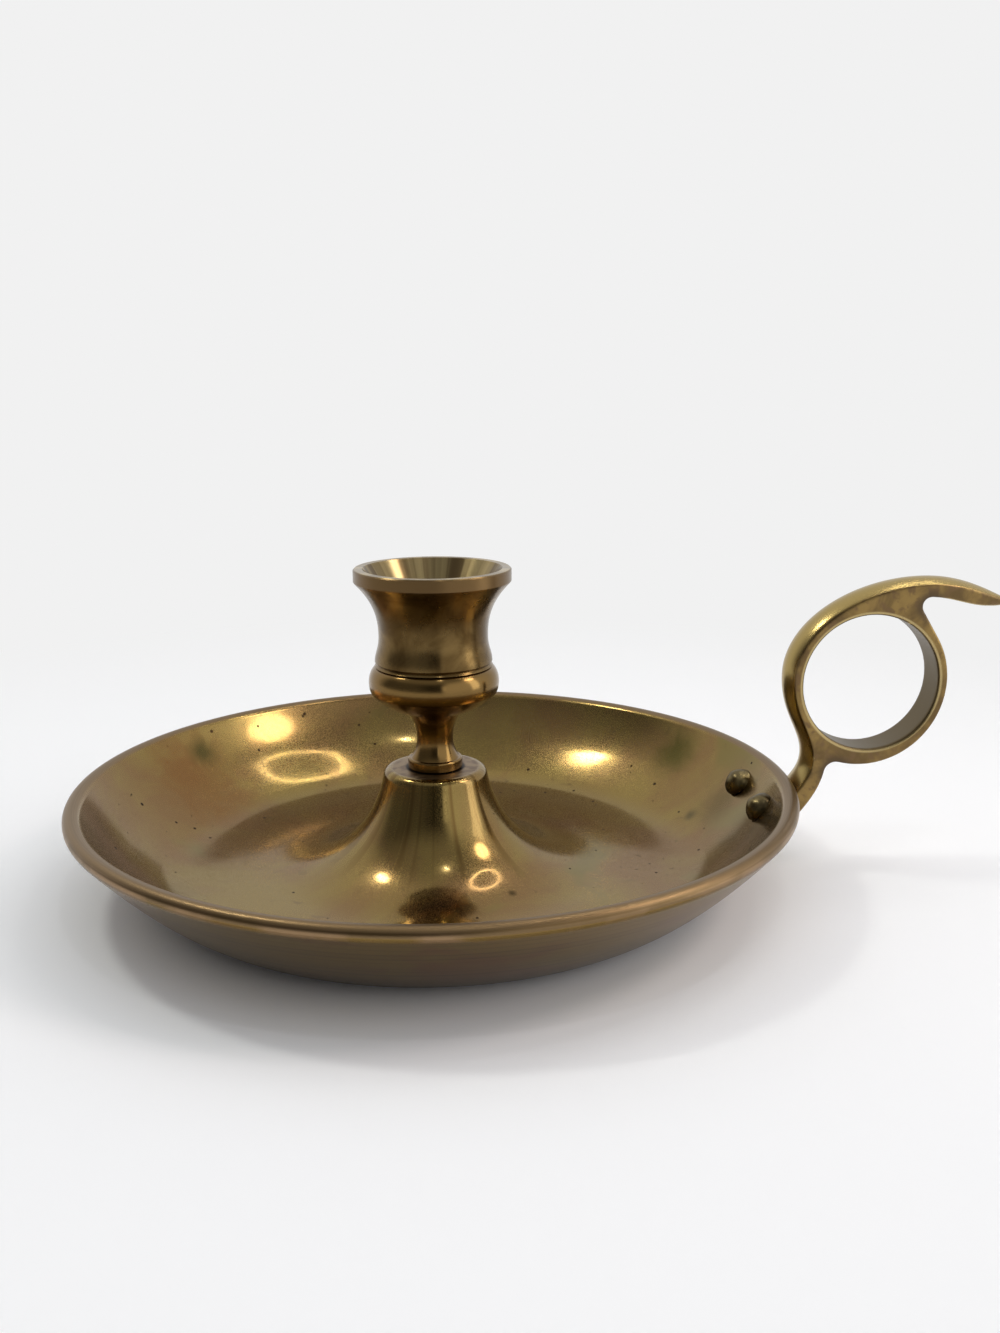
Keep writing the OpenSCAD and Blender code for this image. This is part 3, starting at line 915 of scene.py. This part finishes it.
ring_spot = (ring_centre[0] * MM, 0, ring_centre[1] * MM)
from_ring = add(tree, "VectorMath", {0: in_plane, 1: ring_spot}, out=1, operation="DISTANCE")
hole_mask = ramp(handle_finish, from_ring, (finger_r + 0.5) * MM, (finger_r + 0.1) * MM)
stained(handle_finish, hole_mask, "#64573f", 0.4)
# Painted highlight: a light line round the edge of the finger hole
hole_edge_highlight_mask = both(
    handle_finish,
    ramp(handle_finish, from_ring, (finger_r + 1) * MM, (finger_r + 0.6) * MM),
    ramp(handle_finish, from_ring, (finger_r + 0.2) * MM, (finger_r + 0.5) * MM),
)
stained(handle_finish, hole_edge_highlight_mask, "#b5a070", 0.24)
worn_mask = ramp(handle_finish, handle_finish["pointiness"], 0.53, 0.58)
stained(handle_finish, worn_mask, "#a38d5c", 0.3)
for hollow_centre, hollow_r in ((crotch_centre, crotch_r), (notch_centre, notch_r)):
    hollow_spot = (hollow_centre[0] * MM, 0, hollow_centre[1] * MM)
    away = add(tree, "VectorMath", {0: in_plane, 1: hollow_spot}, out=1, operation="DISTANCE")
    grime_mask = ramp(handle_finish, away, (hollow_r + 2.6) * MM, (hollow_r + 0.2) * MM)
    stained(handle_finish, grime_mask, "#5e4f3c", 0.42)
file_marks = marks(handle_finish, 1.6, 0.3, 0.7, detail=1, squeeze=(1, 0.25, 1))
dented(handle_finish, 0.002, file_marks)
applied(handle_finish, handle)


# Rivets: two brass pins with round heads inside the pan, hammered over on the palm. No
# cloth reaches round them, so they are dark with tarnish.

rivet_d = 3.6
head_d = 7
head_h = 2.7
tail_d = 5.6
tail_h = 1.2
head_seat = 0.42
tail_seat = 0.2


def dome(width, height):
    ball = (width * width / 4 + height * height) / (2 * height)
    start = np.degrees(np.arcsin((ball - height) / ball))
    return arc([0, height - ball], ball, start, 90, 14)


shank = -wall_t(rivet_at) - head_seat
tail_at = palm_gap + palm_t + tail_seat
rivet_outline = (
    [[r, shank - h] for r, h in dome(head_d, head_h)[::-1]]
    + [[rivet_d / 2, shank], [rivet_d / 2, tail_at]]
    + [[r, tail_at + h] for r, h in dome(tail_d, tail_h)]
)
rivet_outline[0][0] = 0
rivet_outline[-1][0] = 0
tilt_angle = -np.radians(outside_slope(rivet_at) + inside_slope(rivet_at)) / 2
tilt = Matrix.Rotation(tilt_angle, 4, "Y")
rivet_turn = np.arcsin(rivet_gap / 2 / rivet_p[0])
rivets = []
head_hug = head_seat - 0.04
# The seed keeps the hammer's dents the same at every run
noise.seed_set(1)
for name, side in (("rivet_near", -1), ("rivet_far", 1)):
    rivet = turned(name + "_hammered", rivet_outline, [name], around=64)
    for corner in rivet.data.vertices:
        spot = corner.co / MM
        if abs(spot.z - shank) < 0.01:
            corner.co.z += head_hug * max(0, 1 - (2 * spot.x / head_d) ** 2) * MM
        if spot.z < shank - 0.3:
            corner.co += noise.noise_vector(spot * 0.35 + Vector((side * 9, 0, 0))) * 0.3 * MM
    place = (
        Matrix.Rotation(side * rivet_turn, 4, "Z")
        @ Matrix.Translation((rivet_p[0] * MM, 0, rivet_p[1] * MM))
        @ tilt
    )
    rivet.data.transform(place)
    rivets.append(rivet)

# Hammered brass, tarnished to a dark olive grey with a dull gloss on the blows
rivet_finish = aged_brass("brass_hammered_tarnished", "#7a6c4a", "#504631", 4, 0.24, 0.38)
applied(rivet_finish, *rivets)


# Table and light: white paper that runs on behind as the backdrop. A ring lamp and a disc
# lamp stand up on the right, a disc lamp up on the left, a small one hangs high overhead and
# a curtain glows at the right. The room behind the camera is dim.

paper_level = 0.88
paper_near = 0.06
paper_far = 0.3
table_size = 8
table_mesh = bpy.data.meshes.new("table")
half = table_size / 2
table_mesh.from_pydata(
    [(-half, -half, 0), (half, -half, 0), (half, half, 0), (-half, half, 0)], [], [(0, 1, 2, 3)]
)
table = bpy.data.objects.new("table", table_mesh)
bpy.context.scene.collection.objects.link(table)

# Matt white paper: it takes the object's shadow, and away from it shows as plain white
paper = bpy.data.materials.new("paper_matt_white")
paper.use_nodes = True
tree = paper.node_tree
tree.nodes.clear()
rays = add(tree, "LightPath").node.outputs
seen = add(tree, "Math", {0: rays["Is Camera Ray"], 1: rays["Is Glossy Ray"]}, operation="MAXIMUM")
seen = add(tree, "Math", {0: seen, 1: rays["Is Transmission Ray"]}, operation="MAXIMUM")
away = add(tree, "VectorMath", {0: add(tree, "NewGeometry")}, out=1, operation="LENGTH")
far = add(tree, "MapRange", {"Value": away, "From Min": paper_near, "From Max": paper_far})
plain = add(tree, "Math", {0: far, 1: seen}, operation="MULTIPLY")
paper_shown = (0.99, 1.01, 1.055, 1)
paper_colour = add(
    tree, "Mix", {0: seen, 6: linear("#f0f0f1"), 7: paper_shown}, out=2, data_type="RGBA"
)
matt = add(tree, "BsdfDiffuse", {"Color": paper_colour})
white = add(tree, "Emission", {"Color": linear("#ffffff"), "Strength": paper_level})
paper_look = add(tree, "MixShader", {0: plain, 1: matt, 2: white})
add(tree, "OutputMaterial", {"Surface": paper_look}, out=None)
table.data.materials.append(paper)

# Room: pale behind the object and on the right, dim overhead and on the camera's side
back_level = 0.86
front_level = 0.055
left_level = 0.15
right_level = 1.05
ceiling_level = 0.39
room = bpy.data.worlds.new("room")
bpy.context.scene.world = room
room.use_nodes = True
tree = room.node_tree
tree.nodes.clear()
x, y, z = add(tree, "SeparateXYZ", {0: add(tree, "TexCoord")}).node.outputs
side = add(tree, "Math", {0: x}, operation="ABSOLUTE")
behind = add(tree, "Math", {0: side, 1: -0.3, 2: y}, operation="MULTIPLY_ADD")
level = front_level
for way, start, end, zone_level in (
    (x, -0.1, -0.6, left_level),
    (x, 0.15, 0.4, right_level),
    (z, 0.5, 0.85, ceiling_level),
    (behind, -0.25, 0.3, back_level),
):
    zone = add(
        tree,
        "MapRange",
        {"Value": way, "From Min": start, "From Max": end},
        interpolation_type="SMOOTHSTEP",
    )
    level = add(tree, "Mix", {0: zone, 2: level, 3: zone_level})
rays = add(tree, "LightPath").node.outputs
level = add(tree, "Mix", {0: rays["Is Camera Ray"], 2: level, 3: paper_level})
sky = add(tree, "Background", {"Color": linear("#ffffff"), "Strength": level})
add(tree, "OutputWorld", {"Surface": sky}, out=None)


def lamp(name, place, width, height, level, colour="#ffffff", shape="ELLIPSE"):
    """A lamp that faces the object, as bright as its level times white."""
    light = bpy.data.lights.new(name, "AREA")
    light.shape = shape
    light.size = width
    light.size_y = height
    light.energy = 4 * width * height * level
    light.color = linear(colour)[:3]
    holder = bpy.data.objects.new(name, light)
    bpy.context.scene.collection.objects.link(holder)
    holder.location = place
    holder.rotation_euler = Vector(place).to_track_quat("Z", "Y").to_euler()


left_lamp_level = 19
right_lamp_level = 6.5
top_lamp_level = 85
curtain_level = 1.6
screen_level = 0.5
ring_lamp_level = 15
lamp("lamp_left", (-0.33, 0.14, 0.6), 0.09, 0.1, left_lamp_level, "#fffff4")
lamp("lamp_right", (0.47, -0.08, 0.5), 0.19, 0.15, right_lamp_level, "#ffeee4")
lamp("lamp_top", (0.17, -0.37, 1.4), 0.04, 0.04, top_lamp_level)
lamp("curtain", (1.1, -0.27, 0.38), 0.34, 0.8, curtain_level, shape="RECTANGLE")
lamp("screen", (0.32, -1.1, 0.4), 0.15, 0.5, screen_level, shape="RECTANGLE")

# Ring lamp: a thin tube
ring_lamp_r = 0.099
ring_tube = 0.007
ring_around, ring_cross = 96, 12
corners, faces = [], []
for i in range(ring_around):
    for j in range(ring_cross):
        a, b = 2 * np.pi * i / ring_around, 2 * np.pi * j / ring_cross
        r = ring_lamp_r + ring_tube * np.cos(b)
        corners.append((r * np.cos(a), r * np.sin(a), ring_tube * np.sin(b)))
        i2, j2 = (i + 1) % ring_around, (j + 1) % ring_cross
        faces.append([m * ring_cross + n for m, n in ((i, j), (i2, j), (i2, j2), (i, j2))])
ring_mesh = bpy.data.meshes.new("lamp_ring")
ring_mesh.from_pydata(corners, [], faces)
ring_lamp = bpy.data.objects.new("lamp_ring", ring_mesh)
bpy.context.scene.collection.objects.link(ring_lamp)
ring_lamp.location = (0.262, 0.109, 0.581)
ring_lamp.rotation_euler = ring_lamp.location.to_track_quat("Z", "Y").to_euler()
ring_lamp.visible_camera = False
tube = bpy.data.materials.new("lamp_tube_white")
tube.use_nodes = True
tree = tube.node_tree
tree.nodes.clear()
glow = add(tree, "Emission", {"Color": linear("#fffaf0"), "Strength": ring_lamp_level})
add(tree, "OutputMaterial", {"Surface": glow}, out=None)
ring_lamp.data.materials.append(tube)
